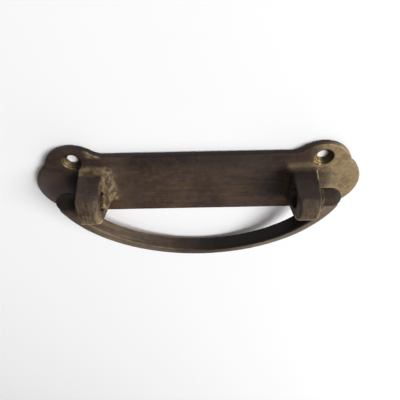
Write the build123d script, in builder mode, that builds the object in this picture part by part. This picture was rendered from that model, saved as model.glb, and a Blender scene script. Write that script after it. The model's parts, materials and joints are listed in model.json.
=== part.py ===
import os
from math import asin, atan2, cos, degrees, hypot, sin

from build123d import *

# A cast drop pull: a lobed backplate with two bored lugs, and a bail whose pins hang in the bores.
# Origin midway between the screw holes on the back face, +X right, +Y into the drawer front, +Z up.

# Backplate outline, seen from the front, in millimetres
hole_spacing = 86.0
panel_top = 2.0
panel_bottom = -24.8
upper_lobe_radius = 11.0
upper_lobe_inset = 0.3
upper_lobe_drop = 5.2
end_lobe_radius = 12.7
end_lobe_centre_x = 45.7
shoulder_round = 6.0
notch_round = 0.6
plate_thickness = 2.5
plate_edge_round = 0.5

# Screw holes
hole_radius = 1.8
countersink_radius = 3.5
countersink_angle = 90.0

# Hinge axis, measured from the back face and from the line of the screw holes
pivot_reach = 12.6
pivot_drop = 8.7
pin_radius = 2.7
pin_clearance = 0.6
bore_mouth_bevel = 0.3

# Lugs
lug_inner_x = 32.2
lug_root_width = 9.1
lug_nose_width = 6.7
lug_inner_draft = 0.3
lug_reach = 20.6
lug_crease_setback = 3.1
lug_lip_setback = 2.0
lug_root_rise = 5.4
lug_crease_rise = 4.9
lug_nose_rise = 0.2
lug_lip_fall = 4.9
lug_root_fall = 8.8
lug_edge_round = 0.4
lug_inner_flare = 4.0
lug_root_fillet = 1.0
lug_inner_bevel = 0.7

# Bail
bail_drop = 44.3
bail_depth = 5.9
bail_width = 5.8
bail_outer_round = 2.0
bail_surface_gap = 0.3
knuckle_radius = 3.05
knuckle_clearance = 0.3
knuckle_overhang = 0.1
knuckle_dome = 2.9
arm_step = 0.6
arm_thickness = 6.6
arm_shoulder_round = 1.6
arm_shoulder = 0.9
arm_straight = 9.0
pin_proud = 1.5
pin_end_bevel = 0.6

hole_x = hole_spacing / 2
pivot_y = -pivot_reach
pivot_z = -pivot_drop
bore_radius = pin_radius + pin_clearance
lug_outer_x = lug_inner_x + lug_root_width
lug_nose_inner_x = lug_inner_x + lug_inner_draft
lug_nose_outer_x = lug_nose_inner_x + lug_nose_width

# The knuckle at the end of each arm clears the lug's tapered outer side where that side is nearest.
taper = (lug_outer_x - lug_nose_outer_x) / (lug_reach - plate_thickness - lug_root_fillet)
knuckle_back = pivot_reach - knuckle_radius
knuckle_inner_x = lug_nose_outer_x + taper * (lug_reach - knuckle_back) + knuckle_clearance
arm_inner_x = knuckle_inner_x + arm_step
arm_outer_x = arm_inner_x + arm_thickness

# The bail leans back until the rounded back of its lowest point just clears the drawer front.
lean_arm = bail_drop - bail_outer_round
lean_reach = hypot(lean_arm, bail_width / 2)
lean = asin((pivot_reach - bail_surface_gap) / lean_reach) - atan2(bail_width / 2, lean_arm)
bail_plane = Plane(origin=(0, pivot_y, pivot_z), x_dir=(1, 0, 0), z_dir=(0, -cos(lean), -sin(lean)))

# One lug: its side profile run across its width, trimmed by its plan.
lug_top = pivot_z + lug_root_rise
lug_foot = pivot_z - lug_root_fall
lug_crease_reach = lug_reach - lug_crease_setback
root_y = -plate_thickness / 2
front_y = -plate_thickness
with BuildPart() as lug:
    with BuildSketch(Plane.YZ) as lug_side:
        with BuildLine():
            top_root = (front_y, lug_top + lug_root_fillet)
            crease = (-lug_crease_reach, pivot_z + lug_crease_rise)
            nose = (-lug_reach, pivot_z + lug_nose_rise)
            lip = (lug_lip_setback - lug_reach, pivot_z - lug_lip_fall)
            foot_root = (front_y, lug_foot - lug_root_fillet)
            Line((root_y, top_root[1]), top_root)
            RadiusArc(top_root, (front_y - lug_root_fillet, lug_top), -lug_root_fillet)
            Line((front_y - lug_root_fillet, lug_top), crease)
            ThreePointArc(crease, nose, lip)
            Line(lip, (front_y - lug_root_fillet, lug_foot))
            RadiusArc((front_y - lug_root_fillet, lug_foot), foot_root, -lug_root_fillet)
            Line(foot_root, (root_y, foot_root[1]))
            Line((root_y, foot_root[1]), (root_y, top_root[1]))
        make_face()
    extrude(amount=arm_outer_x)
    with BuildSketch(Plane.XY) as lug_plan:
        with BuildLine():
            flare_start = (lug_inner_x - lug_inner_flare, front_y)
            flare_end = (lug_inner_x, front_y - lug_inner_flare)
            nose_inner = (lug_nose_inner_x, -lug_reach - lug_edge_round)
            nose_outer = (lug_nose_outer_x, -lug_reach - lug_edge_round)
            fillet_start = (lug_outer_x, front_y - lug_root_fillet)
            fillet_end = (lug_outer_x + lug_root_fillet, front_y)
            Line((flare_start[0], root_y), flare_start)
            RadiusArc(flare_start, flare_end, lug_inner_flare)
            Polyline(flare_end, nose_inner, nose_outer, fillet_start)
            RadiusArc(fillet_start, fillet_end, lug_root_fillet)
            Polyline(fillet_end, (fillet_end[0], root_y), (flare_start[0], root_y))
        make_face()
    extrude(amount=hole_spacing, both=True, mode=Mode.INTERSECT)
    arcs = lug.edges().filter_by(GeomType.ELLIPSE)
    nose_arcs = arcs.filter_by_position(Axis.Y, -2 * lug_reach, -lug_crease_reach)
    straights = lug.edges().filter_by(GeomType.LINE)
    side_edges = straights.filter_by_position(Axis.Y, -lug_crease_reach, -lug_reach / 3)
    inner_top_edge = side_edges.sort_by(Axis.Z)[-2:].sort_by(Axis.X)[0]
    chamfer([nose_arcs.sort_by(Axis.X)[0], inner_top_edge], lug_inner_bevel)
    crease_and_lip = lug.edges().filter_by(Axis.X).filter_by_position(Axis.Y, -lug_reach, -pivot_reach)
    fillet(crease_and_lip, lug_edge_round)

with BuildPart() as backplate:
    with BuildSketch(Plane.XZ) as outline:
        with Locations((0, (panel_top + panel_bottom) / 2)):
            Rectangle(2 * end_lobe_centre_x, panel_top - panel_bottom)
        upper_lobe_x = hole_x - upper_lobe_inset
        with Locations((upper_lobe_x, -upper_lobe_drop), (-upper_lobe_x, -upper_lobe_drop)):
            Circle(upper_lobe_radius)
        end_lobe_z = panel_bottom + end_lobe_radius
        with Locations((end_lobe_centre_x, end_lobe_z), (-end_lobe_centre_x, end_lobe_z)):
            Circle(end_lobe_radius)
        below_top = panel_top - notch_round
        above_top = panel_top + notch_round
        notches = outline.vertices().filter_by_position(Axis.Y, end_lobe_z + notch_round, below_top)
        fillet(notches, notch_round)
        shoulders = outline.vertices().filter_by_position(Axis.Y, below_top, above_top)
        fillet(shoulders, shoulder_round)
    extrude(amount=plate_thickness)
    fillet(backplate.faces().sort_by(Axis.Y)[0].edges(), plate_edge_round)
    add(lug.part)
    mirror(lug.part, about=Plane.YZ)
    with BuildSketch(Plane.YZ) as bore:
        with Locations((pivot_y, pivot_z)):
            Circle(bore_radius)
    extrude(amount=arm_outer_x, both=True, mode=Mode.SUBTRACT)
    bore_rims = backplate.edges().filter_by(GeomType.ELLIPSE).filter_by(lambda edge: edge.is_closed)
    chamfer(bore_rims.sort_by(lambda edge: abs(edge.center().X))[:2], bore_mouth_bevel)
    with Locations(Plane.XZ.offset(plate_thickness)):
        with Locations((hole_x, 0), (-hole_x, 0)):
            CounterSinkHole(hole_radius, countersink_radius, plate_thickness, countersink_angle)

# One pin with its knuckle: a stepped round bar on the hinge axis, domed at the outer end.
# Its inner end stands a little proud of the lug's inner face.
flare_reach = plate_thickness + lug_inner_flare
bore_mouth_share = (pivot_reach - flare_reach) / (lug_reach + lug_edge_round - flare_reach)
pin_inner_x = lug_inner_x + bore_mouth_share * lug_inner_draft - pin_proud
knuckle_outer_x = arm_outer_x + knuckle_overhang
with BuildPart() as pin:
    with BuildSketch(Plane((0, pivot_y, pivot_z))) as pin_half:
        with BuildLine():
            pin_end = (pin_inner_x, pin_radius - pin_end_bevel)
            pin_side = (pin_inner_x + pin_end_bevel, pin_radius)
            knuckle_step = (knuckle_inner_x, pin_radius)
            dome_start = (knuckle_outer_x - knuckle_dome, knuckle_radius)
            dome_tip = (knuckle_outer_x, 0)
            dome_radius = (knuckle_radius**2 + knuckle_dome**2) / (2 * knuckle_dome)
            Polyline(pin_end, pin_side, knuckle_step, (knuckle_inner_x, knuckle_radius), dome_start)
            RadiusArc(dome_start, dome_tip, dome_radius)
            Polyline(dome_tip, (pin_inner_x, 0), pin_end)
        make_face()
    revolve(axis=Axis((0, pivot_y, pivot_z), (1, 0, 0)))

with BuildPart() as bail:
    with BuildSketch(bail_plane) as crescent:
        with BuildLine():
            outer_right = (arm_outer_x, -arm_shoulder)
            outer_left = (-arm_outer_x, -arm_shoulder)
            inner_right = (arm_inner_x, -arm_straight)
            inner_left = (-arm_inner_x, -arm_straight)
            ThreePointArc(outer_left, (0, -bail_drop), outer_right)
            Polyline(outer_right, (arm_inner_x, -arm_shoulder), inner_right)
            ThreePointArc(inner_right, (0, bail_depth - bail_drop), inner_left)
            Polyline(inner_left, (-arm_inner_x, -arm_shoulder), outer_left)
        make_face()
        outer_corners = crescent.vertices().group_by(Axis.Y)[-1].sort_by(Axis.X)
        fillet([outer_corners[0], outer_corners[-1]], arm_shoulder_round)
    extrude(amount=bail_width / 2, both=True)
    arcs = bail.edges().filter_by(GeomType.CIRCLE)
    fillet(arcs.sort_by(SortBy.LENGTH)[-2:], bail_outer_round)
    add(pin.part)
    mirror(pin.part, about=Plane.YZ)

backplate.part.label = "backplate"
bail.part.label = "bail"

os.makedirs("parts", exist_ok=True)
export_step(backplate.part, "parts/backplate.step")
export_step(bail.part, "parts/bail.step")
print("bail leans back", round(degrees(lean), 2), "degrees")
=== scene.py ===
# %% [markdown]
# # A drop pull in worn cast brass
# The pull is two castings: a backplate with a bored lug at each end, and a bail that swings in the bores.
# The solids come in as a fixed frame, in metres. Blender adds what age added: rubbed edges, a slightly
# uneven cast skin, dark patina, grime in the corners and bright metal where the screws have worn it. Some
# colour is painted light and shade as well: shadows beside the lugs, dark on faces turned from the lamp,
# sheen on the right-hand end and highlights on edges, pins and countersinks that face the lamp.

# %% Load the frame
import json
import math

import bmesh
import bpy
import numpy as np
from mathutils import Matrix, Vector, noise


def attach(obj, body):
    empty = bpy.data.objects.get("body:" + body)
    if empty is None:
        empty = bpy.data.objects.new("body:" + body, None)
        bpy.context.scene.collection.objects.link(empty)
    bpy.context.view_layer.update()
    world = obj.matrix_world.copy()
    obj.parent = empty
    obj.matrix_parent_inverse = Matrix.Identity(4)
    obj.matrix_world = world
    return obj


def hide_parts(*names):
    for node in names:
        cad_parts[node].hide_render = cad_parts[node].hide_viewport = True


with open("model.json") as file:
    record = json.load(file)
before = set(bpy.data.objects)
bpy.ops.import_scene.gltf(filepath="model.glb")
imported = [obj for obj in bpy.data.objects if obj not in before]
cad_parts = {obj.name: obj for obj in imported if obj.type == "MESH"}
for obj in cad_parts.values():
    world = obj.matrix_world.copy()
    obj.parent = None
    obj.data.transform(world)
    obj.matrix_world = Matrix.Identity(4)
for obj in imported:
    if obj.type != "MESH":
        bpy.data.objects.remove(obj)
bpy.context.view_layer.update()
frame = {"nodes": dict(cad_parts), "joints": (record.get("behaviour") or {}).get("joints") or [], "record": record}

MM = 0.001


def mm(*lengths):
    return tuple(length * MM for length in lengths)


# %% [markdown]
# The camera comes first, because every later choice is judged through it. The pull was photographed from
# close by and from above, so near parts look larger than far ones. A wide lens at the right distance
# gives that. The camera's axes are built from three angles: how far it looks down, how far it is swung
# to the side, and how far it is rolled.

# %% Camera
LOOK_DOWN = 0.8246
SWING = -0.0064
ROLL = -0.0243
CAMERA_DISTANCE = 138.2 * MM
LOOK_AT = Vector((0.49, 0.0, -22.68)) * MM
SENSOR_WIDTH = 36.0
FOCAL_SHARE = 0.8814
NEAREST_SEEN = 10.0 * MM

level = Vector((math.sin(SWING), math.cos(SWING), 0.0))
forward = level * math.cos(LOOK_DOWN) - Vector((0.0, 0.0, math.sin(LOOK_DOWN)))
level_right = Vector((math.cos(SWING), -math.sin(SWING), 0.0))
level_up = level_right.cross(forward)
right = math.cos(ROLL) * level_right + math.sin(ROLL) * level_up
up = math.cos(ROLL) * level_up - math.sin(ROLL) * level_right
turn = Matrix((right, up, -forward)).transposed().to_4x4()

camera = bpy.data.objects.new("camera", bpy.data.cameras.new("camera"))
bpy.context.scene.collection.objects.link(camera)
camera.data.sensor_fit = "HORIZONTAL"
camera.data.sensor_width = SENSOR_WIDTH
camera.data.lens = SENSOR_WIDTH * FOCAL_SHARE
camera.data.clip_start = NEAREST_SEEN
camera.matrix_world = Matrix.Translation(LOOK_AT - CAMERA_DISTANCE * forward) @ turn
bpy.context.scene.camera = camera
print("camera at", [round(c / MM, 1) for c in camera.matrix_world.translation], "mm")

# %% [markdown]
# Where things sit is read from the record rather than typed again: half the screw spacing gives the two
# holes, and the hinge gives the line of the pins.

# %% Places on the pull
screw_mount = next(m for m in frame["record"]["mounts"] if m["name"] == "screw_holes")
HOLE_X = screw_mount["dims"]["spacing_x_mm"] / 2 * MM
PIVOT = Vector(frame["joints"][0]["pos_m"])
print("screw holes at x =", HOLE_X, "m, hinge line through", [round(c, 4) for c in PIVOT])

# %% [markdown]
# A casting's edges are never knife sharp, and a century of hands rounds them further. A solid's mesh has
# long thin triangles that can't be worn, so a merged copy is skinned with an even grid first. Smoothing
# the grid a few times rounds every edge by about the grid's own width and leaves flat faces flat. No hand
# reaches into the screw holes, so they stay crisp.

# %% Even skin with rubbed edges
PLATE_GRID = 0.30 * MM
BAIL_GRID = 0.26 * MM
PLATE_RUBS = 3
BAIL_RUBS = 6
SAME_POINT = 0.001 * MM
CRISP_RADIUS = 3.0 * MM
RUB = {"factor": 0.5, "use_axis_x": True, "use_axis_y": True, "use_axis_z": True}


def worn_skin(node, name, grid, rubs, crisp):
    mesh = frame["nodes"][node].data.copy()
    mesh.name = name
    shell = bmesh.new()
    shell.from_mesh(mesh)
    bmesh.ops.remove_doubles(shell, verts=shell.verts, dist=SAME_POINT)
    shell.to_mesh(mesh)
    shell.free()
    piece = bpy.data.objects.new(name, mesh)
    bpy.context.scene.collection.objects.link(piece)
    skin = piece.modifiers.new("even skin", "REMESH")
    skin.mode = "VOXEL"
    skin.voxel_size = grid
    skin.use_smooth_shade = True
    skinned = piece.evaluated_get(bpy.context.evaluated_depsgraph_get())
    piece.data = bpy.data.meshes.new_from_object(skinned)
    piece.modifiers.clear()
    piece.data.name = name
    bpy.data.meshes.remove(mesh)
    shell = bmesh.new()
    shell.from_mesh(piece.data)
    bmesh.ops.smooth_vert(shell, verts=shell.verts, **RUB)
    open_to_hands = [vert for vert in shell.verts if not crisp(vert.co)]
    for _ in range(rubs):
        bmesh.ops.smooth_vert(shell, verts=open_to_hands, **RUB)
    bmesh.ops.recalc_face_normals(shell, faces=shell.faces)
    shell.to_mesh(piece.data)
    shell.free()
    piece.data.materials.clear()
    print(name, len(piece.data.polygons), "faces")
    return piece


def inside_screw_hole(point):
    return math.hypot(abs(point.x) - HOLE_X, point.z) < CRISP_RADIUS


def nowhere(point):
    return False


plate = worn_skin("backplate", "worn_backplate", PLATE_GRID, PLATE_RUBS, inside_screw_hole)
bail = worn_skin("bail", "worn_bail", BAIL_GRID, BAIL_RUBS, nowhere)

# %% [markdown]
# Wear and dirt both follow the shape, so the skins are read as plain lists of points. Comparing a point
# with the middle of its neighbours tells how far it stands out: above nought on an edge, below nought in
# an inner corner.


# %% Reading a skin's shape
class Skin:
    """The points of one skin, which point touches which, and the way each one faces."""

    def __init__(self, piece, grid):
        self.mesh = piece.data
        self.name = piece.name
        self.grid = grid
        self.points = self.read(self.mesh.vertices, "co", 3)
        self.pairs = self.read(self.mesh.edges, "vertices", 2, np.int32)
        self.counts = np.maximum(np.bincount(self.pairs.ravel(), minlength=len(self.points)), 1)

    def read(self, items, what, width, kind=np.float64):
        values = np.empty(len(items) * width, dtype=kind)
        items.foreach_get(what, values)
        return values.reshape(-1, width)

    def normals(self):
        return self.read(self.mesh.vertex_normals, "vector", 3)

    def around(self, values):
        total = np.zeros_like(values)
        np.add.at(total, self.pairs[:, 0], values[self.pairs[:, 1]])
        np.add.at(total, self.pairs[:, 1], values[self.pairs[:, 0]])
        return total / self.counts.reshape([-1] + [1] * (values.ndim - 1))

    def widened(self, mask, steps):
        for _ in range(steps):
            wider = mask.copy()
            np.maximum.at(wider, self.pairs[:, 0], mask[self.pairs[:, 1]])
            np.maximum.at(wider, self.pairs[:, 1], mask[self.pairs[:, 0]])
            mask = wider
        return mask

    def stand_out(self, spread):
        values = ((self.points - self.around(self.points)) * self.normals()).sum(1) / self.grid
        for _ in range(spread):
            values = (values + self.around(values)) / 2
        return values

    def move(self, points):
        self.points = points
        self.mesh.vertices.foreach_set("co", points.ravel())
        self.mesh.update()

    def smooth(self, amount, passes):
        start = self.points
        points = start.copy()
        for _ in range(passes):
            points = points + 0.5 * amount[:, None] * (self.around(points) - points)
        self.move(points)
        return float(np.abs(points - start).max())

    def chart(self, name, places):
        layer = self.mesh.attributes.new(name, "FLOAT_VECTOR", "POINT")
        layer.data.foreach_set("vector", places.astype(np.float32).ravel())

    def mark(self, name, values):
        values = np.clip(values, 0.0, 1.0)
        layer = self.mesh.attributes.new(name, "FLOAT", "POINT")
        layer.data.foreach_set("value", values.astype(np.float32))
        print(self.name, name, "mean", round(float(values.mean()), 3))


plate_skin = Skin(plate, PLATE_GRID)
bail_skin = Skin(bail, BAIL_GRID)
print("points:", len(plate_skin.points), "on the plate,", len(bail_skin.points), "on the bail")

# %% [markdown]
# Molten metal does not fill a sand mould with sharp inner corners, so where a lug meets the plate or a
# knuckle meets its arm the real casting has a small hollow fillet. Smoothing only the corner points many
# times makes it. The holes are left out, because they were drilled after casting, and so is the rim, whose
# notches were filed.

# %% Hollow fillets of the casting
CORNER_SPREAD = 4
CORNER_GAIN = 30.0
PLATE_FILLS = 14
BAIL_FILLS = 20
HOLE_KEPT = 4.5 * MM
BORE_KEPT = 4.2 * MM
RIM_KEPT = -2.2 * MM
ARMS_START = 40.0 * MM


def soften_corners(skin, passes, keep):
    depth = np.clip(-skin.stand_out(CORNER_SPREAD) * CORNER_GAIN, 0.0, 1.0)
    for _ in range(CORNER_SPREAD):
        depth = np.maximum(depth, skin.around(depth))
    filled = skin.smooth(np.where(keep(skin.points), 0.0, depth), passes)
    print(skin.name, "corners filled by up to", round(filled / MM, 2), "mm")


def from_screw_hole(points):
    return np.hypot(np.abs(points[:, 0]) - HOLE_X, points[:, 2])


def drilled_or_filed(points):
    from_hinge = np.hypot(points[:, 1] - PIVOT.y, points[:, 2] - PIVOT.z)
    on_rim = points[:, 1] > RIM_KEPT
    return (from_screw_hole(points) < HOLE_KEPT) | (from_hinge < BORE_KEPT) | on_rim


def between_arms(points):
    return np.abs(points[:, 0]) < ARMS_START


soften_corners(plate_skin, PLATE_FILLS, drilled_or_filed)
soften_corners(bail_skin, BAIL_FILLS, between_arms)
narrowest = float(from_screw_hole(plate_skin.points).min())
print("narrowest screw hole radius", round(narrowest / MM, 2), "mm")

# %% [markdown]
# The bail has its own directions: down the way it hangs, forward out of the drawer, and along its bow. The
# bow is nearly part of a circle whose centre lies a little above the hinge. Measured from there, an angle
# tells how far along the bow a point is, and later the wiping marks follow it.

# %% Directions on the bail
BOW_CENTRE_RISE = 5.7 * MM
MIDDLE_HALF = 2.0 * MM
ACROSS = np.array((1.0, 0.0, 0.0))
middle = np.abs(bail_skin.points[:, 0]) < MIDDLE_HALF
hang = (bail_skin.points[middle].mean(0) - np.array(PIVOT)) * (0.0, 1.0, 1.0)
hang = hang / np.linalg.norm(hang)
front = np.cross(hang, ACROSS)
sideways = bail_skin.points[:, 0]
fall = (bail_skin.points - np.array(PIVOT)) @ hang
from_centre = np.hypot(sideways, fall + BOW_CENTRE_RISE)
along = np.arctan2(sideways, fall + BOW_CENTRE_RISE) * from_centre.mean()
bail_skin.chart("along_bow", np.stack([along, from_centre, bail_skin.points @ front], axis=1))
print("bail hangs along", hang.round(3).tolist(), "and faces", front.round(3).tolist())

# %% [markdown]
# Fingers hook behind the bow and pull, so the inner edge of its front is worn the most. It is found by the
# way it faces, half forward and half into the loop, and smoothed until it is round.

# %% The edge that fingers pull
PULLED_FROM = 9.0 * MM
EDGE_START = 0.2
EDGE_RAMP = 0.2
EDGE_STEPS = 7
EDGE_BLURS = 4
EDGE_PASSES = 30


def facing_forward():
    return bail_skin.normals() @ front


def facing_in():
    inward = -hang * (fall + BOW_CENTRE_RISE)[:, None] - sideways[:, None] * ACROSS
    return (bail_skin.normals() * inward).sum(1) / np.linalg.norm(inward, axis=1)


pulled = np.minimum(facing_forward(), facing_in())
pulled = np.where(fall > PULLED_FROM, np.clip((pulled - EDGE_START) / EDGE_RAMP, 0.0, 1.0), 0.0)
pulled = bail_skin.widened(pulled, EDGE_STEPS)
for _ in range(EDGE_BLURS):
    pulled = bail_skin.around(pulled)
worn = bail_skin.smooth(pulled, EDGE_PASSES)
print("the pulled edge is worn back by up to", round(worn / MM, 2), "mm")

# %% [markdown]
# Patina rubs off the edges first and gathers in the corners. Four more marks follow which way a surface
# faces: the backplate's rim, which is later painted dark as shade, the front of the bail, which every hand
# touched, the inside of its bow, which is later painted dark as shade, and the ridge between those two.

# %% Where it is rubbed and where grime stays
SHAPE_SPREAD = 3
SHAPE_GAIN = 12
PLATE_FRONT = -2.6 * MM
RIM_FULL = 1.3
RIM_GAIN = 1.6
HANDLED_GAIN = 1.6
HANDLED_START = 0.5
INSIDE_GAIN = 2.0
RIDGE_GAIN = 1.4

for skin in (plate_skin, bail_skin):
    shape = skin.stand_out(SHAPE_SPREAD) * SHAPE_GAIN
    skin.mark("rubbed", shape)
    skin.mark("grime", -shape)

on_plate = plate_skin.points[:, 1] > PLATE_FRONT
rim_side = RIM_FULL - RIM_GAIN * np.abs(plate_skin.normals()[:, 1])
plate_skin.mark("rim", np.where(on_plate, rim_side, 0.0))

bail_skin.mark("handled", HANDLED_GAIN * facing_forward() - HANDLED_START)
bail_skin.mark("inside", INSIDE_GAIN * facing_in())
bail_skin.mark("ridge_wear_and_glint", RIDGE_GAIN * np.minimum(facing_forward(), facing_in()))

# %% [markdown]
# Sand casting and hand filing leave a face a few hundredths of a millimetre out of true. It is too little
# to see as a shape but it bends the light. The skin is pushed in, never out, so the pull keeps its size.

# %% Cast unevenness
WAVE = 7.0 * MM
WAVE_DEPTH = 0.05 * MM
WAVE_ROUGHNESS = 0.9
WAVE_SHRINK = 2.0
WAVE_LAYERS = 3
BACK_FACE = -0.2 * MM


def cast_unevenness(skin):
    rough = (WAVE_ROUGHNESS, WAVE_SHRINK, WAVE_LAYERS)
    waves = np.array([noise.fractal(Vector(p) / WAVE, *rough) for p in skin.points])
    dips = np.maximum(0.0, WAVE_DEPTH * (0.5 + 0.5 * waves))
    dips[skin.points[:, 1] > BACK_FACE] = 0.0
    skin.move(skin.points - skin.normals() * dips[:, None])
    print(skin.name, "deepest dip", round(dips.max() / MM, 3), "mm")


cast_unevenness(plate_skin)
cast_unevenness(bail_skin)

# %% [markdown]
# The worn skins now stand for the two solids, and each moves with its own body.

# %% Hang the pieces on the frame
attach(plate, "plate")
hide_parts("backplate")
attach(bail, "bail")
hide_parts("bail")

# %% [markdown]
# The finish is one idea in layers: a brown-black skin over yellow metal. The skin is mottled, streaked
# along the pull by wiping, thinner and browner in places, rubbed through on the edges and black in the
# corners. Among the layers are painted light and shade: painted shadows, dark on faces turned from the
# lamp, painted sheen and highlights. Every layer is a mask that mixes one colour over the last, and the
# other layers go in the order in which the real surface came about. A recipe holds one material and does
# the sums between masks.


# %% Recipe for a material
class Recipe:
    """Adds nodes to one material and joins them, so that a finish reads as a list of steps."""

    def __init__(self, name):
        self.material = bpy.data.materials.new(name)
        self.material.use_nodes = True
        self.nodes = self.material.node_tree.nodes
        self.links = self.material.node_tree.links
        self.shader = self.nodes["Principled BSDF"]

    def put(self, socket, value):
        if isinstance(value, bpy.types.NodeSocket):
            self.links.new(value, socket)
        else:
            socket.default_value = value

    def work_out(self, operation, *values):
        total = values[0]
        for value in values[1:] or (0.0,):
            node = self.nodes.new("ShaderNodeMath")
            node.operation = operation
            self.put(node.inputs[0], total)
            self.put(node.inputs[1], value)
            total = node.outputs["Value"]
        return total

    def plus(self, *values):
        return self.work_out("ADD", *values)

    def minus(self, whole, part):
        return self.work_out("SUBTRACT", whole, part)

    def times(self, *values):
        return self.work_out("MULTIPLY", *values)

    def most(self, *values):
        return self.work_out("MAXIMUM", *values)


# %% [markdown]
# A casting's recipe also knows where each point lies: across, up, how far from the middle and how far out
# from the back face. From those and from noise it makes masks. A ramp runs between two places, a window
# opens between two places with soft sides, and a ragged edge strays a little from its line. By side, the
# left half gets one strength and the right half another. Lengths are in metres, and a noise is given by
# its scale, its detail and its roughness.

# %% Masks for a casting
SIDE_CHANGE = 5.0 * MM
STRAY_DETAIL = 4.0
STRAY_ROUGHNESS = 0.6
GRIME = (0.15, 0.8)
MOST_GRIME = 0.85
EDGE_SCALE = 380.0
EDGE_STRAY = 1.3
UNDER_SOCKET, TOP_SOCKET, MIXED_SOCKET = 6, 7, 2


class Patina(Recipe):
    """A recipe for a casting, with masks that follow its places and its marks."""

    def __init__(self, name):
        super().__init__(name)
        self.place = self.nodes.new("ShaderNodeTexCoord").outputs["Object"]
        split = self.nodes.new("ShaderNodeSeparateXYZ")
        self.links.new(self.place, split.inputs["Vector"])
        self.x, y, self.z = split.outputs
        self.side = self.work_out("ABSOLUTE", self.x)
        self.out = self.times(y, -1.0)

    def attribute(self, name, output="Fac"):
        node = self.nodes.new("ShaderNodeAttribute")
        node.attribute_name = name
        return node.outputs[output]

    def stretched(self, place, scale):
        node = self.nodes.new("ShaderNodeMapping")
        node.inputs["Scale"].default_value = scale
        self.links.new(place, node.inputs["Vector"])
        return node.outputs["Vector"]

    def noise(self, scale, detail, roughness, place=None):
        node = self.nodes.new("ShaderNodeTexNoise")
        self.put(node.inputs["Vector"], place or self.place)
        node.inputs["Scale"].default_value = scale
        node.inputs["Detail"].default_value = detail
        node.inputs["Roughness"].default_value = roughness
        return node.outputs["Fac"]

    def cells(self, scale):
        node = self.nodes.new("ShaderNodeTexVoronoi")
        self.put(node.inputs["Vector"], self.place)
        node.inputs["Scale"].default_value = scale
        return node.outputs["Distance"], node.outputs["Color"]

    def ramp(self, value, start, end, at_start=0.0, at_end=1.0):
        node = self.nodes.new("ShaderNodeMapRange")
        node.interpolation_type = "SMOOTHSTEP"
        self.put(node.inputs["Value"], value)
        ends = {"From Min": start, "From Max": end, "To Min": at_start, "To Max": at_end}
        for name, number in ends.items():
            node.inputs[name].default_value = number
        return node.outputs["Result"]

    def by_side(self, left, right):
        return self.ramp(self.x, 0.0, SIDE_CHANGE, left, right)

    def window(self, value, low, high, soft):
        rise = self.ramp(value, low - soft, low + soft)
        return self.times(rise, self.ramp(value, high + soft, high - soft))

    def ragged(self, value, scale, amount):
        stray = self.minus(self.noise(scale, STRAY_DETAIL, STRAY_ROUGHNESS), 0.5)
        return self.plus(value, self.times(stray, amount))

    def grime(self):
        return self.ramp(self.attribute("grime"), *GRIME, at_end=MOST_GRIME)

    def rubbed(self, start, end, most):
        standing = self.ragged(self.attribute("rubbed"), EDGE_SCALE, EDGE_STRAY)
        return self.ramp(standing, start, end, at_end=most)

    def over(self, mask, under, top):
        node = self.nodes.new("ShaderNodeMix")
        node.data_type = "RGBA"
        self.put(node.inputs["Factor"], mask)
        self.put(node.inputs[UNDER_SOCKET], under)
        self.put(node.inputs[TOP_SOCKET], top)
        return node.outputs[MIXED_SOCKET]


# %% [markdown]
# The colours are what the bare eye would call them in plain daylight. Yellow metal under a thin brown
# skin looks tan, under a thick one almost black.

# %% Colours of the finish
# The blackest colour is soot in hollows and also painted shade, the neutral grey paints the lugs' shadows and one
# smudge of dirt, the pale mauve paints light onto the left lobe, and the worn and bare yellows are wear and also
# painted highlight.
UMBER = (0.026, 0.0165, 0.0130, 1.0)
PLUM = (0.066, 0.041, 0.0340, 1.0)
BROWN = (0.115, 0.067, 0.034, 1.0)
TAN = (0.31, 0.225, 0.115, 1.0)
DRAB = (0.29, 0.228, 0.150, 1.0)
RUBBED_AND_GLINT = (0.46, 0.360, 0.190, 1.0)
BARE_AND_GLINT = (0.52, 0.350, 0.120, 1.0)
SOOT_AND_SHADE = (0.012, 0.010, 0.009, 1.0)
SHADOW_AND_SMUDGE = (0.030, 0.030, 0.031, 1.0)
LOBE_LIGHT_MAUVE = (0.200, 0.150, 0.145, 1.0)
SPECK = (0.34, 0.310, 0.250, 1.0)

# %% [markdown]
# The skin every casting shares: umber and plum in soft clouds, wiped along its length, a few pale specks.

# %% Shared skin
WIPING = (70.0, 420.0, 640.0)
SPECK_SCALE = 330.0
SPECK_DEPTH = mm(1.5, 2.2)


def dark_skin(r, brown, lengthwise):
    clouds = r.plus(r.noise(85.0, 5.0, 0.6), r.times(r.noise(430.0, 5.0, 0.75), 1.2))
    colour = r.over(r.ramp(clouds, 0.82, 1.36), UMBER, PLUM)
    wipe = r.noise(1.0, 6.0, 0.7, r.stretched(lengthwise, WIPING))
    patch = r.noise(55.0, 3.0, 0.5)
    thin = r.times(r.ramp(wipe, 0.30, 0.74), r.ramp(patch, 0.28, 0.64), brown)
    colour = r.over(thin, colour, BROWN)
    spot, spot_tint = r.cells(SPECK_SCALE)
    speck = r.times(r.ramp(spot, 0.20, 0.06, at_end=0.5), r.ramp(spot_tint, 0.76, 0.78))
    speck = r.times(speck, r.ramp(r.out, *SPECK_DEPTH))
    return r.over(speck, colour, SPECK), wipe


# %% [markdown]
# Dirt is dull and bare metal is bright, so both also change how much the surface mirrors. A fine grain and
# a few pits, a few hundredths of a millimetre deep, break up the light.

# %% Surface of the metal
GRAIN_SCALE = 2400.0
PIT_SCALE = 900.0
BUMP_DEPTH = 0.05 * MM
BUMP_STRENGTH = 0.5
SPECULAR = 0.22
DULLEST = 0.4


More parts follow.
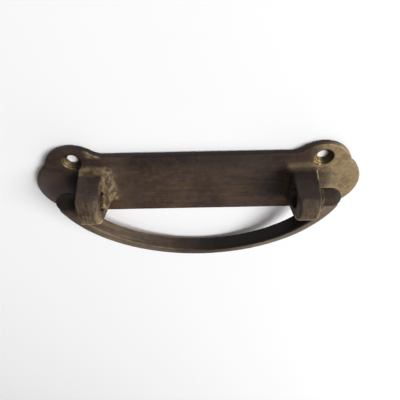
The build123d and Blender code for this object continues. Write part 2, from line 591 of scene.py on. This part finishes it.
def set_surface(r, colour, bright, dull, wipe):
    grain = r.noise(GRAIN_SCALE, 4.0, 0.6)
    pits = r.ramp(r.noise(PIT_SCALE, 2.0, 0.5), 0.62, 0.74)
    rise = r.plus(r.times(grain, 0.5), r.times(wipe, 0.25))
    bump = r.nodes.new("ShaderNodeBump")
    bump.inputs["Strength"].default_value = BUMP_STRENGTH
    bump.inputs["Distance"].default_value = BUMP_DEPTH
    r.put(bump.inputs["Height"], r.minus(rise, r.times(pits, 0.4)))
    r.put(r.shader.inputs["Normal"], bump.outputs["Normal"])
    r.put(r.shader.inputs["Base Color"], colour)
    r.put(r.shader.inputs["Metallic"], r.ramp(bright, 0.0, 1.0, at_start=0.15, at_end=0.7))
    r.shader.inputs["Specular IOR Level"].default_value = SPECULAR
    roughness = r.ramp(grain, 0.3, 0.7, at_start=0.42, at_end=0.54)
    r.put(r.shader.inputs["Roughness"], r.plus(roughness, r.times(dull, DULLEST)))
    print(r.material.name, len(r.nodes), "nodes")
    return r.material


# %% [markdown]
# The backplate's layers come in six groups. First the wide ones on its face: a dark strip under the top
# rim, painted shadows in a neutral grey beside the lugs, a faint tan beside the left lug's flare and a pale
# mauve that paints light onto the left lobe, where the left lug's shadow falls.

# %% Backplate: a dark strip, painted shadows and painted light
TOP_STRIP = mm(-6.0, 1.0)
MIDDLE_PANEL = mm(-26.0, 27.0, 8.0)
OUTSIDE_LEFT_LUG = mm(-46.0, -41.0, 3.0)
INSIDE_RIGHT_LUG = mm(27.5, 33.0, 3.0)
LUG_HEIGHT = mm(-17.0, -5.0, 4.0)
BY_LEFT_FLARE = mm(-31.0, -24.0, 3.0)
LEFT_LOBE = mm(-44.0, -49.0)
LEFT_LOBE_DROP = mm(-3.0, -15.0)


def strip_lug_shadows_and_lobe_light(r, colour, on_face):
    under_rim = r.ramp(r.ragged(r.z, 110.0, 6.0 * MM), *TOP_STRIP, at_end=0.52)
    colour = r.over(r.times(under_rim, r.window(r.x, *MIDDLE_PANEL)), colour, SOOT_AND_SHADE)
    # Painted shadows: a neutral grey laid where the lugs cast their shadows on the face.
    left_lug_shadow = r.window(r.x, *OUTSIDE_LEFT_LUG)
    right_lug_shadow = r.times(r.window(r.ragged(r.x, 200.0, 3.0 * MM), *INSIDE_RIGHT_LUG), 0.7)
    lug_shadows = r.times(r.most(left_lug_shadow, right_lug_shadow), on_face, r.window(r.z, *LUG_HEIGHT), 0.8)
    colour = r.over(lug_shadows, colour, SHADOW_AND_SMUDGE)
    by_flare = r.times(r.window(r.x, *BY_LEFT_FLARE), on_face, 0.07)
    colour = r.over(by_flare, colour, TAN)
    # Painted light: a pale mauve that lightens the left lug's shadow on the left lobe.
    lobe_light = r.ramp(r.ragged(r.x, 200.0, 3.0 * MM), *LEFT_LOBE)
    lobe_light = r.times(lobe_light, on_face, r.ramp(r.z, *LEFT_LOBE_DROP, at_end=0.8))
    return r.over(lobe_light, colour, LOBE_LIGHT_MAUVE)


# %% [markdown]
# The skin is thin on the inner face of the left lug, which stays rough from the mould, and on the lugs'
# noses, where file marks show. The right lug's inner face keeps little tan and its top is painted dark,
# both as painted shade.

# %% Backplate: the lugs
INNER_FACE = mm(33.2, 32.4)
ABOVE_PLATE = mm(2.4, 3.6)
TOWARDS_NOSE = mm(10.0, 15.0)
NOSE = mm(17.0, 18.4)
NOSE_DROP = mm(-6.0, -12.0)
FILE_MARKS = (1900.0, 480.0, 480.0)
TOP_START = mm(4.0, 6.0)
TOP_END = mm(18.5, 17.0)


def lugs_wear_and_shade(r, colour):
    patchy = r.ramp(r.noise(520.0, 5.0, 0.65), 0.36, 0.64, at_start=0.02, at_end=0.85)
    inner = r.ramp(r.ragged(r.side, 500.0, 1.5 * MM), *INNER_FACE)
    inner = r.times(inner, r.ramp(r.ragged(r.out, 500.0, 0.8 * MM), *ABOVE_PLATE))
    # The right lug's inner face keeps little tan: painted shade for the face turned from the lamp.
    inner = r.times(inner, r.by_side(left=1.0, right=0.12))
    near_nose = r.ramp(r.out, *TOWARDS_NOSE, at_start=1.0, at_end=0.3)
    colour = r.over(r.times(inner, patchy, near_nose), colour, TAN)

    nose = r.ramp(r.ragged(r.out, 350.0, 1.2 * MM), *NOSE)
    nose = r.times(nose, r.by_side(left=0.38, right=0.19))
    nose = r.times(nose, r.ramp(r.z, *NOSE_DROP, at_start=0.6, at_end=1.3))
    filed = r.noise(1.0, 5.0, 0.65, r.stretched(r.place, FILE_MARKS))
    nose = r.times(nose, r.ramp(filed, 0.36, 0.62, at_start=0.1, at_end=1.35))
    colour = r.over(nose, colour, TAN)

    # Painted shade: the top of the right lug is darkened.
    right_top_shade = r.times(r.ramp(r.out, *TOP_START), r.ramp(r.out, *TOP_END))
    return r.over(r.times(right_top_shade, r.by_side(left=0.0, right=0.62)), colour, SOOT_AND_SHADE)


# %% [markdown]
# Along the lugs' top roots and in the left notch a cloth has caught on the metal and left it tan.

# %% Backplate: roots and notch
ROOT_SIDE = mm(31.5, 41.5, 1.0)
ROOT_OUT = mm(2.6, 5.4, 1.2)
ROOT_HEIGHT = mm(-4.1, -1.8, 0.6)
NOTCH_X = mm(-37.5, -33.0, 1.0)
NOTCH_HEIGHT = mm(0.8, 2.4)
TOWARDS_FACE = mm(0.8, 2.2)


def roots_and_notch(r, colour):
    root = r.times(
        r.window(r.side, *ROOT_SIDE),
        r.window(r.ragged(r.out, 450.0, 3.0 * MM), *ROOT_OUT),
        r.window(r.z, *ROOT_HEIGHT),
        r.ramp(r.noise(420.0, 5.0, 0.7), 0.36, 0.64, at_start=0.25, at_end=0.9),
        r.by_side(left=0.97, right=0.34),
    )
    colour = r.over(root, colour, TAN)
    notch = r.times(
        r.window(r.x, *NOTCH_X),
        r.ramp(r.z, *NOTCH_HEIGHT),
        r.ramp(r.out, *TOWARDS_FACE),
        r.ramp(r.noise(420.0, 4.0, 0.65), 0.36, 0.64, at_end=0.7),
    )
    return r.over(notch, colour, TAN), notch


# %% [markdown]
# The right-hand end is painted a grainy tan, partly a thinner skin and partly painted sheen. Close beside
# the lug it is kept darker as painted shade, and a smudge of dirt lies there.

# %% Backplate: the right-hand end
TAN_AND_SHEEN_START = mm(36.5, 46.0)
END_FACE = mm(0.9, 3.5, 0.5)
SHADE_BY_LUG_DROP = mm(-2.0, -8.0)
SHADE_BY_LUG = mm(50.0, 44.0)
SMUDGE_X = mm(45.2, 47.0, 1.2)
SMUDGE_HEIGHT = mm(-15.5, -7.0, 2.5)


def right_end_tan_and_sheen(r, colour, on_face):
    grainy = r.ramp(r.noise(1000.0, 6.0, 0.85), 0.38, 0.62, at_start=0.55, at_end=1.2)
    mottled = r.ramp(r.noise(240.0, 3.0, 0.6), 0.34, 0.62, at_start=0.65, at_end=1.25)
    # Painted shade beside the right lug keeps the tan off there; the tan itself is partly a thinner skin and
    # partly painted sheen.
    shade_by_lug = r.times(r.ramp(r.z, *SHADE_BY_LUG_DROP), r.ramp(r.x, *SHADE_BY_LUG, at_end=0.72))
    end = r.ramp(r.ragged(r.x, 160.0, 5.0 * MM), *TAN_AND_SHEEN_START)
    end = r.times(end, r.minus(1.0, shade_by_lug), grainy, mottled, r.window(r.out, *END_FACE))
    colour = r.over(end, colour, TAN)
    smudge = r.window(r.ragged(r.x, 260.0, 2.0 * MM), *SMUDGE_X)
    smudge = r.times(smudge, on_face, r.window(r.z, *SMUDGE_HEIGHT), 0.5)
    return r.over(smudge, colour, SHADOW_AND_SMUDGE)


# %% [markdown]
# The rim is painted dark as shade but for the right-hand end. Edges are bright, partly from wear and partly
# as painted highlight on the sides that face the lamp: the outer side of the right lug, the inner edge of
# the left one and the end; the notch is bright too, and the lips under the noses are wear and painted
# highlight. Grime lies over all of it in the corners. Where nobody wiped, the surface is dull.

# %% Backplate: edges, dirt, painted shade and painted highlights
RIM_SHADE_FADES = mm(42.0, 50.0)
STANDING = mm(4.0, 5.5)
RIGHT_OUTER_SIDE = mm(36.0, 38.0)
AWAY_FROM_NOSE = mm(19.0, 16.5)
LEFT_INNER_EDGE = mm(-34.5, -20.0, 0.6)
END_RIM = mm(46.0, 54.0)
LIP_DROP = mm(-11.4, -12.4)
DULL_BY_LUGS = mm(27.0, 34.0, 5.0)


def edges_glints_shade_and_dirt(r, colour, notch):
    rim = r.attribute("rim")
    # Painted shade: the rim is darkened but for the right-hand end.
    rim_painted_shade = r.times(rim, r.ramp(r.x, *RIM_SHADE_FADES, at_start=0.82, at_end=0.1))
    colour = r.over(rim_painted_shade, colour, SOOT_AND_SHADE)

    # The chosen edges face the lamp, so their brightness is partly wear and partly painted highlight.
    standing = r.ramp(r.out, *STANDING)
    right_side = r.times(r.ramp(r.x, *RIGHT_OUTER_SIDE), standing)
    right_side = r.times(right_side, r.ramp(r.out, *AWAY_FROM_NOSE, at_start=0.4))
    left_inner = r.times(r.window(r.x, *LEFT_INNER_EDGE), standing, 0.34)
    end_rim = r.ramp(r.x, *END_RIM, at_end=0.6)
    broken = r.ramp(r.noise(150.0, 2.0, 0.5), 0.40, 0.56, at_start=0.1)
    where = r.times(r.most(right_side, left_inner, end_rim, notch), broken)
    worn_and_lit_edge = r.rubbed(0.30, 0.95, most=0.9)
    colour = r.over(r.times(worn_and_lit_edge, where), colour, RUBBED_AND_GLINT)
    # The lips under the noses: wear and painted highlight.
    lip_wear_and_glint = r.ramp(r.ragged(r.z, 500.0, 0.8 * MM), *LIP_DROP)
    lip_wear_and_glint = r.times(lip_wear_and_glint, r.ramp(r.ragged(r.out, 500.0, 1.0 * MM), *NOSE), 0.85)
    colour = r.over(lip_wear_and_glint, colour, RUBBED_AND_GLINT)

    grime = r.grime()
    colour = r.over(grime, colour, SOOT_AND_SHADE)
    by_lugs = r.times(r.window(r.side, *DULL_BY_LUGS), 0.5)
    lug_top = r.times(r.ramp(r.out, *TOP_START), r.by_side(left=0.5, right=0.3))
    return colour, r.most(grime, r.times(rim, 0.9), by_lugs, lug_top)


# %% [markdown]
# The lower left of each countersink is yellow metal in turned rings, partly scraped by screw heads and
# partly painted highlight where the cone faces the lamp. The rest of the cone is painted dark, partly soot
# and partly painted shade.

# %% Backplate: countersinks
CONE = mm(3.7, 3.2)
OFF_THE_BACK = mm(0.1, 0.4)
SCRAPED_AND_GLINT_FROM = mm(0.2, 2.2)
TURNED_STEP = 0.6 * MM


def countersinks(r, colour):
    beside = r.minus(r.side, HOLE_X)
    signed = r.minus(r.x, r.times(r.work_out("SIGN", r.x), HOLE_X))
    away = r.work_out("SQRT", r.plus(r.times(beside, beside), r.times(r.z, r.z)))
    cone = r.ramp(r.ragged(away, 900.0, 0.5 * MM), *CONE)
    cone = r.times(cone, r.ramp(r.out, *OFF_THE_BACK))
    # The dark cone is soot and painted shade.
    colour = r.over(r.times(cone, 0.88), colour, SOOT_AND_SHADE)
    # The yellow lower left is scraping and painted highlight.
    slope = r.plus(r.times(signed, -1.0), r.times(r.z, -0.5))
    turned = r.work_out("SINE", r.times(away, math.tau / TURNED_STEP))
    scraped_and_glint = r.times(
        cone,
        r.ramp(r.ragged(slope, 700.0, 2.0 * MM), *SCRAPED_AND_GLINT_FROM),
        r.ramp(r.noise(1100.0, 4.0, 0.7), 0.34, 0.66, at_start=0.15, at_end=0.85),
        r.ramp(turned, -0.7, 0.4, at_start=0.25),
        r.by_side(left=0.55, right=1.3),
    )
    return r.over(scraped_and_glint, colour, BARE_AND_GLINT), cone, scraped_and_glint


# %% [markdown]
# All the layers go over the shared skin, which is browner low down and to the right.

# %% Backplate: all its layers
LOW_DOWN = mm(2.0, -22.0)
BROWNER_RIGHT = mm(0.0, 15.0)
FRONT_FACE = mm(1.5, 3.4, 0.6)


def backplate_finish():
    r = Patina("backplate_patina_and_painted_light")
    brown = r.ramp(r.z, *LOW_DOWN, at_start=0.2)
    brown = r.times(brown, r.ramp(r.x, *BROWNER_RIGHT, at_start=1.0, at_end=1.3))
    colour, wipe = dark_skin(r, brown, r.place)
    on_face = r.window(r.out, *FRONT_FACE)
    colour = strip_lug_shadows_and_lobe_light(r, colour, on_face)
    colour = lugs_wear_and_shade(r, colour)
    colour, notch = roots_and_notch(r, colour)
    colour = right_end_tan_and_sheen(r, colour, on_face)
    colour, unwiped = edges_glints_shade_and_dirt(r, colour, notch)
    colour, cone, scraped_and_glint = countersinks(r, colour)
    return set_surface(r, colour, scraped_and_glint, r.times(unwiped, r.minus(1.0, cone)), wipe)


plate.data.materials.append(backplate_finish())

# %% [markdown]
# The bail is the darker piece. Hands have thinned the skin over its front and down the left arm; the front
# is tan most of all towards the right, partly as painted sheen. The ridge and the edge along its inner
# front are tan, partly wear and partly painted highlight, most on the left, where they face the lamp.

# %% Bail: where hands thin the skin, with painted sheen and highlights
LEFT_FRONT = mm(-5.0, -20.0)
RIGHT_FRONT_SHEEN = mm(5.0, 30.0)
LEFT_FRONT_END = mm(-44.0, -34.0)
RIGHT_FRONT_END = mm(38.0, 46.0)
LEFT_ARM = mm(-10.0, -34.0)
LEFT_ARM_END = mm(-44.0, -36.0)
RIDGE_GLINT_FADES = mm(-4.0, 12.0)
EDGE_GLINT_FADES = mm(-14.0, 2.0)


def worn_and_lit_front(r, colour, wipe, handled, outside):
    streaks = r.ramp(wipe, 0.30, 0.70, at_start=0.3)
    left_front = r.ramp(r.x, *LEFT_FRONT, at_start=0.1, at_end=0.34)
    # The tan front rises towards the right partly as wear and partly as painted sheen.
    right_front_sheen = r.ramp(r.x, *RIGHT_FRONT_SHEEN, at_start=0.1, at_end=0.7)
    front_wear_and_sheen = r.times(
        r.most(left_front, right_front_sheen),
        r.ramp(r.x, *LEFT_FRONT_END, at_start=0.1),
        r.ramp(r.x, *RIGHT_FRONT_END, at_start=1.0, at_end=0.75),
    )
    colour = r.over(r.times(handled, streaks, front_wear_and_sheen), colour, DRAB)
    left_arm = r.times(r.ramp(r.x, *LEFT_ARM, at_end=0.5), streaks, outside)
    left_arm = r.times(left_arm, r.ramp(r.x, *LEFT_ARM_END, at_start=0.05))
    left_arm = r.times(left_arm, r.ramp(handled, 0.0, 1.0, at_start=1.0, at_end=0.7))
    colour = r.over(left_arm, colour, DRAB)
    # The ridge and the inner edge: wear and painted highlight, fading where they turn from the lamp.
    ridge_wear_and_glint = r.ramp(r.ragged(r.attribute("ridge_wear_and_glint"), 380.0, 0.5), 0.50, 0.95, at_end=0.85)
    ridge_wear_and_glint = r.times(ridge_wear_and_glint, streaks, r.ramp(r.x, *RIDGE_GLINT_FADES, at_start=1.0, at_end=0.2))
    colour = r.over(ridge_wear_and_glint, colour, TAN)
    worn_and_lit_edge = r.rubbed(0.40, 1.00, most=0.7)
    worn_and_lit_edge = r.times(worn_and_lit_edge, r.ramp(r.x, *EDGE_GLINT_FADES, at_start=1.0, at_end=0.1))
    return r.over(worn_and_lit_edge, colour, TAN)


# %% [markdown]
# The inside of the bow is painted dark as shade, most on the right. The knuckles are painted dark, partly
# dirt and partly painted shade for the shadow behind the lugs, and the right pin is painted dark as shade.
# A tan collar shows where the right knuckle meets its lug, and the left pin is flecked with bare metal,
# partly as painted glints.

# %% Bail: dirt, painted shade, collar and pins
INNER_SHADE_RIGHT = mm(-18.0, 10.0)
COLLAR = mm(40.4, 41.7, 0.4)


def bail_dirt_and_shade(r, colour, knuckle, in_bore):
    inside = r.ramp(r.ragged(r.attribute("inside"), 300.0, 0.5), 0.05, 0.60)
    # Painted shade: the inside of the bow is darkened, most on the right.
    painted_inner_shade = r.times(inside, r.ramp(r.x, *INNER_SHADE_RIGHT, at_start=0.1, at_end=0.97))
    painted_inner_shade = r.times(painted_inner_shade, r.ramp(knuckle, 0.0, 1.0, at_start=1.0, at_end=0.2))
    grime = r.grime()
    # The knuckles: dirt and painted shade; the right pin: painted shade.
    knuckle_dirt_and_shade = r.times(knuckle, r.by_side(left=0.9, right=0.58))
    right_pin_shade = r.times(in_bore, r.by_side(left=0.0, right=0.85))
    dirt_and_shade = r.most(grime, knuckle_dirt_and_shade, painted_inner_shade, right_pin_shade)
    colour = r.over(dirt_and_shade, colour, SOOT_AND_SHADE)
    collar = r.times(knuckle, r.window(r.x, *COLLAR))
    collar = r.times(collar, r.ramp(r.noise(600.0, 4.0, 0.65), 0.40, 0.62, at_start=0.1, at_end=0.7))
    colour = r.over(collar, colour, TAN)
    # The left pin's flecks are bare metal and painted glints.
    left_pin = r.times(in_bore, r.by_side(left=1.0, right=0.0))
    flecks_and_glint = r.times(left_pin, r.ramp(r.noise(1300.0, 3.0, 0.6), 0.52, 0.68, at_end=0.6))
    return r.over(flecks_and_glint, colour, BARE_AND_GLINT), dirt_and_shade, flecks_and_glint


# %% [markdown]
# Wiping marks follow the bow, so the bail's shared skin uses the chart made earlier. No hand reaches the
# pins or the knuckles.

# %% Bail: all its layers
ARM_END = mm(38.0, 40.0)
KNUCKLE_FOOT = mm(-11.6, -10.2)
BORE_MOUTH = mm(34.0, 33.0)
PIN_FOOT = (PIVOT.z - 4.0 * MM, PIVOT.z - 3.0 * MM)


def bail_finish():
    r = Patina("bail_patina_and_painted_light")
    colour, wipe = dark_skin(r, 1.0, r.attribute("along_bow", "Vector"))
    knuckle = r.times(r.ramp(r.side, *ARM_END), r.ramp(r.z, *KNUCKLE_FOOT))
    in_bore = r.times(r.ramp(r.side, *BORE_MOUTH), r.ramp(r.z, *PIN_FOOT))
    outside = r.minus(1.0, in_bore)
    handled = r.ramp(r.ragged(r.attribute("handled"), 300.0, 0.7), 0.32, 1.00)
    handled = r.times(handled, outside, r.ramp(knuckle, 0.0, 1.0, at_start=1.0, at_end=0.1))
    colour = worn_and_lit_front(r, colour, wipe, handled, outside)
    colour, dirt_and_shade, flecks_and_glint = bail_dirt_and_shade(r, colour, knuckle, in_bore)
    untouched = r.times(r.minus(1.0, handled), 0.5)
    return set_surface(r, colour, flecks_and_glint, r.most(dirt_and_shade, untouched), wipe)


bail.data.materials.append(bail_finish())

# %% [markdown]
# The pull lies on its back on a white sheet. The sheet is a plane just behind the backplate that catches
# the soft shadows. It can be looked through from behind, so that the back of the pull can be seen too.

# %% White sheet
SHEET_HALF = 1.5
SHEET_GAP = 0.2 * MM
sheet_mesh = bmesh.new()
bmesh.ops.create_grid(sheet_mesh, x_segments=1, y_segments=1, size=SHEET_HALF)
upright = Matrix.Rotation(math.pi / 2, 3, "X")
bmesh.ops.rotate(sheet_mesh, verts=sheet_mesh.verts, cent=(0, 0, 0), matrix=upright)
bmesh.ops.translate(sheet_mesh, verts=sheet_mesh.verts, vec=(0, SHEET_GAP, 0))
sheet = bpy.data.objects.new("white_sheet", bpy.data.meshes.new("white_sheet"))
sheet_mesh.to_mesh(sheet.data)
sheet_mesh.free()
bpy.context.scene.collection.objects.link(sheet)
print("sheet faces", [round(c, 2) for c in sheet.data.polygons[0].normal])

# %% [markdown]
# Looked at directly, the sheet is a little whiter than the light it passes on, which keeps the background
# clean.

# %% Sheet finish
WHITE = (0.94, 0.94, 0.95, 1.0)
LIFT = 0.05
paper = Recipe("white_sheet")
paper.nodes.remove(paper.shader)
diffuse = paper.nodes.new("ShaderNodeBsdfDiffuse")
diffuse.inputs["Color"].default_value = WHITE
path = paper.nodes.new("ShaderNodeLightPath")
looked_at = [path.outputs[name] for name in ("Is Camera Ray", "Is Glossy Ray", "Is Transmission Ray")]
lift = paper.nodes.new("ShaderNodeEmission")
paper.put(lift.inputs["Strength"], paper.times(paper.most(*looked_at), LIFT))
whitened = paper.nodes.new("ShaderNodeAddShader")
paper.links.new(diffuse.outputs["BSDF"], whitened.inputs[0])
paper.links.new(lift.outputs["Emission"], whitened.inputs[1])
clear = paper.nodes.new("ShaderNodeBsdfTransparent")
behind = paper.nodes.new("ShaderNodeNewGeometry").outputs["Backfacing"]
choose = paper.nodes.new("ShaderNodeMixShader")
paper.put(choose.inputs["Fac"], paper.most(behind, path.outputs["Is Shadow Ray"]))
paper.links.new(whitened.outputs["Shader"], choose.inputs[1])
paper.links.new(clear.outputs["BSDF"], choose.inputs[2])
paper.links.new(choose.outputs["Shader"], paper.nodes["Material Output"].inputs["Surface"])
sheet.data.materials.append(paper.material)
print("sheet finish", len(paper.nodes), "nodes")

# %% [markdown]
# One soft lamp to the right and a little above gives the shadows their direction. A weaker, broader one low
# in front puts a sheen on the right-hand end, and an even grey surround fills the shadows a little. A lamp
# behind the sheet lights the back when the pull is turned round.

# %% Lights
SURROUND = (0.195, 0.19, 0.188, 1.0)


def soft_lamp(name, direction, distance, size, watts):
    lamp = bpy.data.objects.new(name, bpy.data.lights.new(name, "AREA"))
    lamp.data.shape = "DISK"
    lamp.data.size = size
    lamp.data.energy = watts
    away = Vector(direction).normalized()
    lamp.location = LOOK_AT + away * distance
    lamp.rotation_mode = "QUATERNION"
    lamp.rotation_quaternion = away.to_track_quat("Z", "Y")
    bpy.context.scene.collection.objects.link(lamp)
    print(name, [round(c, 2) for c in lamp.location])


soft_lamp("key_lamp", direction=(1.0, -1.0, 0.32), distance=1.6, size=1.0, watts=28.0)
soft_lamp("sheen_lamp", direction=(0.39, -0.66, -0.64), distance=1.2, size=1.1, watts=2.5)
soft_lamp("back_lamp", direction=(-0.5, 1.0, 0.6), distance=0.8, size=0.5, watts=4.0)

world = bpy.data.worlds.new("grey_surround")
world.use_nodes = True
world.node_tree.nodes["Background"].inputs["Color"].default_value = SURROUND
bpy.context.scene.world = world
bpy.context.scene.view_settings.view_transform = "Standard"
